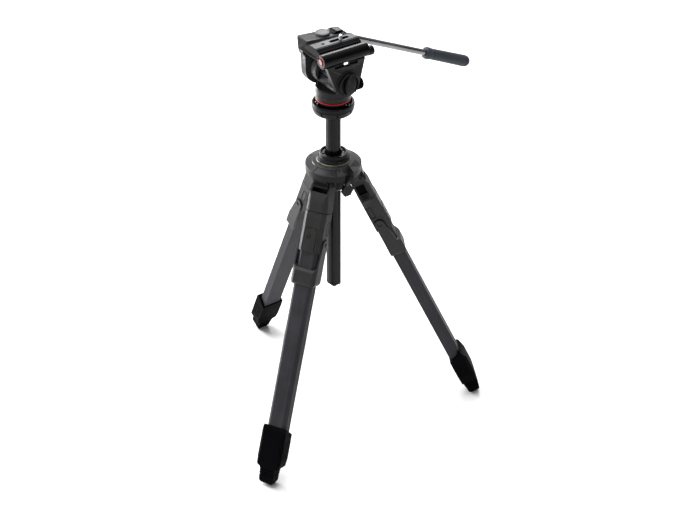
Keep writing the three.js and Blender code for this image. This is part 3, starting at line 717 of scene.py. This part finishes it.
def clamp_tube():
    tube = turned([(0, -45), (11.4, -45), (12.6, -43.8), (12.6, 47.6), (11.2, 49), (0, 49)], 96, "y",
                  (CLAMP_X, CLAMP_Z))
    wall = box((26.6, 33), (-44, 49), (776, 790))
    return cut(join(tube, wall), box((10, 26.4), (-60, 60), (783, 810)),
               box((26, 29.4), (-36, 40), (783.4, 792)),
               *cheek_window(),
               bar("y", 6.4, (-50, -36.6), (CLAMP_X, CLAMP_Z), 64),
               bar("y", 4.4, (36, 60), (SCREW_X, SCREW_Z), 48))


def tilt_knob():
    """A round skirt with a leaf-shaped ridge to turn it by."""
    skirt = turned([(0, 42.2), (19.4, 42.2), (20.5, 43.3), (20.5, 46), (19.2, 47.6), (17.8, 47.6),
                    (17.2, 46.6), (17.2, 44.4), (0, 44.4)], 96, "x", (TILT_Y, TILT_Z))
    half_length, half_width = 20.4, 10.4
    radius = (half_length ** 2 + half_width ** 2) / (2 * half_width)
    offset = radius - half_width
    sweep = math.degrees(math.asin(half_length / radius))
    leaf = [*arc(-offset, 0, radius, -sweep, sweep, 24),
            *arc(offset, 0, radius, 180 - sweep, 180 + sweep, 24)[1:-1]]
    ridge = moved(spun(prism_x(leaf, (43.5, 52.4)), -8, "X"), 0, TILT_Y, TILT_Z)
    dome = turned([(0, 40), (20.4, 40), (20.4, 49), (9, 52), (0, 52.4)], 96, "x", (TILT_Y, TILT_Z))
    return join(skirt, meet(ridge, dome))


def sliding_plate():
    profile = [(-25.4, 783.5), (25, 783.5), (25, 785.2), (21.6, 789), (20.4, 789.6), (20.4, 792),
               (9.5, PLATE_TOP - 0.5), (-9.5, PLATE_TOP - 0.5), (-20.4, 792), (-20.4, 789.6), (-22, 789),
               (-25.4, 785.2)]
    grooves = [box((x - 0.45, x + 0.45), (-50, 50), (792.4, 800)) for x in (-16, -12.6, 12.6, 16)]
    return cut(prism_y(profile, (-42, 45)), *grooves,
               prism_z(rounded_outline((-3.4, 3.4), (-7, 32), 3.3), (780, 800)),
               box((-7, 7), (-7, 32), (780, 788.5)),
               bar("z", 2.4, (780, 800), (0, -20.5), 48))


def plate_strip():
    strip = box((-8.6, 8.6), (-41.6, 44.6), (795, PLATE_TOP))
    return cut(strip, prism_z(rounded_outline((-4, 4), (-7.6, 32.6), 3.9), (780, 800)),
               bar("z", 2.9, (780, 800), (0, -20.5), 48))


def camera_screw():
    thread = [(0, 785), (2.6, 785)]
    z = 786.0
    while z < 802.2:
        thread += [(2.65, z), (3.1, z + 0.45), (3.1, z + 0.6), (2.65, z + 1.05)]
        z += 1.27
    thread += [(2.6, 802.9), (2.0, 803.4), (0, 803.4)]
    return join(turned(thread, 48, "z", (0, STUD_Y)), bar("z", 6.4, (784, 787.8), (0, STUD_Y), 64, 0.4))


def bubble_level():
    return turned([(0, 788.8), (13, 788.8), (13, 794.4), (12, 795.4), (11, 795.4), (10.6, 794.9), (9, 795.4),
                   (4, 795.8), (0, 795.8)], 96, "z", (LEVEL_X, LEVEL_Y))


def accessory_block():
    return prism_x([(24.4, 787.2), (42.6, 787.2), (42.6, 793.6), (29, 795), (24.4, 792)], (-48.6, -30.4))


def bar_bracket():
    teeth = [(12.5 if i % 2 else 11.8, a) for i, a in enumerate(range(0, 360, 6))]
    outline = [(r * math.cos(math.radians(a)), r * math.sin(math.radians(a))) for r, a in teeth]
    rosette = prism_x(outline, (-60.4, -56.4))
    block = join(bar("x", 10, (-74, -60), (0, 0), 64), box((-74, -60.2), (0, 22), (-9, 9)))
    return cut(join(rosette, block), bar("y", ROD_RADIUS + 0.3, (6, 40), (BAR_X, 0), 64),
               bar("x", 3.6, (-80, -50), (0, 0), 32))


def bar_knob():
    cap = turned([(0, -80), (6.6, -80), (7.6, -79), (7.6, -75), (7, -74.4), (0, -74.4)], 64, "x", (0, 0))
    cap = cut(cap, *[spun(bar("x", 1.4, (-82, -73), (8.4, 0), 16), 36 * i, "X") for i in range(10)])
    return join(cap, bar("x", 3.2, (-75, -51), (0, 0), 32))


def bar_grip():
    length, end = 116, BAR_LENGTH - 0.5
    profile = [(0, 0), (9, 0), (10.4, 0.6), (11.2, 2), (11.6, 5), (11.5, 9), (10.7, 13), (10.6, 22),
               (10.9, 60), (11.3, 100), (11.2, 106), (10.4, 110.6), (8.4, 114), (5, 115.8), (0, length)]
    grip = turned([(r, end - length + y) for r, y in profile], 96, "y", (BAR_X, 0))
    rings = [turned([(10.2, end - length + y), (13, end - length + y), (13, end - length + y + 0.8),
                     (10.2, end - length + y + 0.8)], 96, "y", (BAR_X, 0)) for y in (16, 104)]
    return cut(grip, bar("y", ROD_RADIUS + 0.3, (end - length - 5, end - 39), (BAR_X, 0), 48), *rings)


def receiver():
    return turned([(0, 666), (14.4, 666), (14.4, 657.5), (24, 657.5), (30, 662), (30, 672), (26, 672),
                   (26, 669), (0, 669)], 96)


def head_foot():
    return turned([(0, 669.4), (25.6, 669.4), (25.6, 673), (28.6, 674), (28.6, 681), (30.6, 683),
                   (30.6, 685.7), (26, 685.7), (26, BASE_Z - 0.4), (0, BASE_Z - 0.4)], 128)


def red_ring():
    return turned([(26.4, 686.1), (31.4, 686.6), (31.4, 688.9), (30.6, BASE_Z - 0.4),
                   (26.4, BASE_Z - 0.4)], 128)


def index_mark():
    """A short raised line on the panning base."""
    band = turned([(31, 697.2), (32.15, 697.2), (32.15, 697.9), (31, 697.9)], 144)
    return meet(band, spun(box((20, 40), (-6, 6), (690, 705)), -58))


def clamp_end_ring():
    ring = turned([(6.5, -45.5), (11.2, -45.5), (11.6, -45.2), (11.6, -44), (6.5, -44)], 96, "y",
                  (CLAMP_X, CLAMP_Z))
    return cut(ring, box((10, 26.6), (-60, 60), (782.8, 810)))


def release_button():
    face = turned([(0, -46.6), (4.2, -46.6), (4.6, -46.2), (4.6, -42), (0, -42)], 64, "y",
                  (CLAMP_X, CLAMP_Z))
    return join(face, bar("y", 3, (-43, -39), (CLAMP_X, CLAMP_Z), 32))


def release_button_rim():
    return turned([(4.6, -46.9), (5.6, -46.9), (5.9, -46.6), (5.9, -42), (4.6, -42)], 64, "y",
                  (CLAMP_X, CLAMP_Z))


def clamp_knob():
    cap = turned([(0, 49.5), (7.6, 49.5), (8.6, 50.5), (8.6, 59.8), (7.4, 61), (0, 61)], 64, "y",
                 (SCREW_X, SCREW_Z))
    return join(cap, bar("y", 4, (37, 50.4), (SCREW_X, SCREW_Z), 32))


def clamp_jaw():
    return prism_y([(25.4, 783.8), (28, 783.8), (28, 790), (22.2, 790), (22.2, 789.2), (25.4, 785.6)],
                   (-34, 38))


def bar_rod():
    return bar("y", ROD_RADIUS, (6.4, BAR_LENGTH - 40), (BAR_X, 0), 64, 0.6)


def build_head():
    def put(obj, name, mat, body, slot, bevel, replaces=(), segments=3, matrix=HEAD):
        place(obj, name, matrix, mat, body, slot, replaces, bevel, segments)

    put(receiver(), "head_receiver_detail", GLOSS, "column", "black_trim", 0.4, ["head_receiver"])
    put(release_ring(), "head_release_ring_detail", KNOB, "release_ring", "knob", 0.45,
        ["head_release_ring"])
    put(head_foot(), "head_foot_detail", GLOSS, "column", "steel", 0.3, ["head_foot"])
    put(ring_pins(), "head_foot_pins", STEEL, "column", "steel", 0.0)
    put(red_ring(), "red_ring_detail", RED, "column", "red", 0.3, ["red_ring"])
    put(index_mark(), "pan_index_mark", CROWN, "pan_base", "casting", 0.0)
    put(pan_base(), "pan_base_turned", BASE, "pan_base", "casting", 0.3, ["pan_body"])
    put(pan_yoke(), "pan_yoke", CASTING, "pan_base", "casting", 1.2, segments=4)
    put(pan_neck(), "pan_neck", DARK_CAST, "pan_base", "casting", 2.0, segments=4)
    put(cartridge(), "fluid_cartridge_detail", DRUM, "pan_base", "casting", 0.3, ["fluid_cartridge"])
    put(axis_bar(5, (-52, 41.4), 48, 0.6), "tilt_axle_detail", STEEL, "tilt_head", "steel", 0.0,
        ["tilt_axle"])
    put(pan_lock_knob(), "pan_lock_knob_detail", RUBBER, "pan_lock_knob", "rubber", 0.6, ["pan_lock_knob"])
    put(far_side(), "tilt_cradle_frame", CASTING, "tilt_head", "casting", 1.1, ["tilt_cradle"], 4)
    put(near_cheek(), "tilt_cradle_near_cheek", CASTING, "tilt_head", "casting", 1.6)
    put(clamp_tube(), "tilt_cradle_clamp_tube", GLOSS, "tilt_head", "casting", 0.4)
    put(clamp_end_ring(), "clamp_end_ring", BASE, "tilt_head", "casting", 0.15)
    put(release_button(), "plate_release_button_detail", PINK, "plate_release_button", "red", 0.3,
        ["plate_release_button"])
    put(release_button_rim(), "plate_release_button_rim", RED, "plate_release_button", "red", 0.1)
    put(tilt_knob(), "tilt_lock_knob_detail", KNOB, "tilt_lock_knob", "knob", 1.3, ["tilt_lock_knob"], 4)
    put(clamp_knob(), "clamp_knob_detail", KNOB, "clamp_knob", "knob", 0.5, ["clamp_knob"])
    put(clamp_jaw(), "clamp_jaw_detail", STEEL, "clamp_jaw", "steel", 0.3, ["clamp_jaw"])
    put(sliding_plate(), "sliding_plate_detail", PLATE, "camera_plate", "black_trim", 0.35,
        ["sliding_plate"])
    # The top strip's grey is partly its own colour and partly a painted sheen.
    put(plate_strip(), "sliding_plate_strip", STRIP_GREY_AND_SHEEN, "camera_plate", "black_trim", 0.2)
    put(camera_screw(), "camera_screw_detail", STEEL, "camera_screw", "steel", 0.0, ["camera_screw"])
    put(bubble_level(), "bubble_level_detail", DISC, "tilt_head", "level_disc", 0.2, ["bubble_level"])
    put(accessory_block(), "accessory_block_detail", KNOB, "tilt_head", "knob", 0.9, ["accessory_block"], 4)
    put(bar_bracket(), "pan_bar_bracket_detail", CASTING, "pan_bar", "casting", 0.4, ["pan_bar_bracket"],
        matrix=BAR)
    put(bar_knob(), "pan_bar_knob_detail", KNOB, "pan_bar_knob", "knob", 0.4, ["pan_bar_knob"], matrix=BAR)
    put(bar_rod(), "pan_bar_rod_detail", ROD, "pan_bar", "steel", 0.0, ["pan_bar_rod"], matrix=BAR)
    put(bar_grip(), "pan_bar_grip_detail", GRIP, "pan_bar", "grip", 0.2, ["pan_bar_grip"], matrix=BAR)


for leg_side, leg_azimuth in SIDES.items():
    build_leg(leg_side, leg_azimuth)
build_centre()
build_head()


# ------------------------------------------------------------------ floor, light and camera
def build_stage():
    bpy.ops.mesh.primitive_plane_add(size=80, location=(0, 0, -0.0006))
    floor = bpy.context.active_object
    floor.name = "floor"
    mat = bpy.data.materials.new("floor_paper")
    mat.use_nodes = True
    tree = mat.node_tree
    shader = tree.nodes["Principled BSDF"]
    shader.inputs["Roughness"].default_value = 0.9
    shader.inputs["Specular IOR Level"].default_value = 0.1
    noise = tree.nodes.new("ShaderNodeTexNoise")
    noise.inputs["Scale"].default_value = 20
    ramp = tree.nodes.new("ShaderNodeMapRange")
    ramp.inputs["To Min"].default_value = 0.8
    ramp.inputs["To Max"].default_value = 0.88
    tree.links.new(noise.outputs["Fac"], ramp.inputs["Value"])
    tree.links.new(ramp.outputs["Result"], shader.inputs["Base Color"])
    floor.data.materials.append(mat)


def area_light(name, location, target, size, power):
    data = bpy.data.lights.new(name, "AREA")
    data.shape = "DISK"
    data.size = size
    data.energy = power
    light = bpy.data.objects.new(name, data)
    bpy.context.scene.collection.objects.link(light)
    light.location = location
    light.rotation_euler = (Vector(target) - Vector(location)).to_track_quat("-Z", "Y").to_euler()


def build_world():
    """A studio that is bright behind and to the left of the tripod and dark on the camera's side."""
    world = bpy.data.worlds.new("studio")
    world.use_nodes = True
    nodes, links = world.node_tree.nodes, world.node_tree.links
    coords = nodes.new("ShaderNodeTexCoord")
    facing = nodes.new("ShaderNodeVectorMath")
    facing.operation = "DOT_PRODUCT"
    facing.inputs[1].default_value = (-0.78, -0.22, 0.58)
    bright = nodes.new("ShaderNodeMapRange")
    bright.interpolation_type = "SMOOTHSTEP"
    bright.inputs["From Min"].default_value = -0.5
    bright.inputs["From Max"].default_value = 0.9
    bright.inputs["To Min"].default_value = 0.03
    bright.inputs["To Max"].default_value = 1.0
    links.new(coords.outputs["Generated"], facing.inputs[0])
    links.new(facing.outputs["Value"], bright.inputs["Value"])
    links.new(bright.outputs["Result"], nodes["Background"].inputs["Strength"])
    nodes["Background"].inputs["Color"].default_value = (1, 1, 1, 1)
    bpy.context.scene.world = world


def build_light():
    build_world()
    middle = Vector((0.07, -0.05, 0.4))
    area_light("left", middle + Vector((-0.93, -0.36, 0.12)) * 2.1, middle, 1.1, 80)
    area_light("back", middle + Vector((-0.67, 0.46, 0.59)) * 3.0, middle, 1.1, 46)
    data = bpy.data.lights.new("top", "SUN")
    data.energy = 2.7
    data.angle = math.radians(50)
    sun = bpy.data.objects.new("top", data)
    bpy.context.scene.collection.objects.link(sun)
    sun.rotation_euler = Vector((0.25, 0.1, -1)).to_track_quat("-Z", "Y").to_euler()


def build_camera():
    data = bpy.data.cameras.new("camera")
    data.sensor_width = 36
    data.lens = 1411.86 / 700 * 36
    data.shift_x = 8.42 / 700
    data.shift_y = 27.16 / 700
    camera = bpy.data.objects.new("camera", data)
    bpy.context.scene.collection.objects.link(camera)
    right = Vector((0.56357, 0.82607, 0)).normalized()
    ahead = Vector((-0.66934, 0.45664, -0.58606)).normalized()
    up = right.cross(ahead)
    rotation = Matrix((right, up, -ahead)).transposed().to_4x4()
    camera.matrix_world = Matrix.Translation(ORIGIN + Vector((1.8412, -1.2380, 1.8727))) @ rotation
    bpy.context.scene.camera = camera


build_stage()
build_light()
build_camera()
bpy.context.scene.view_settings.view_transform = "Standard"
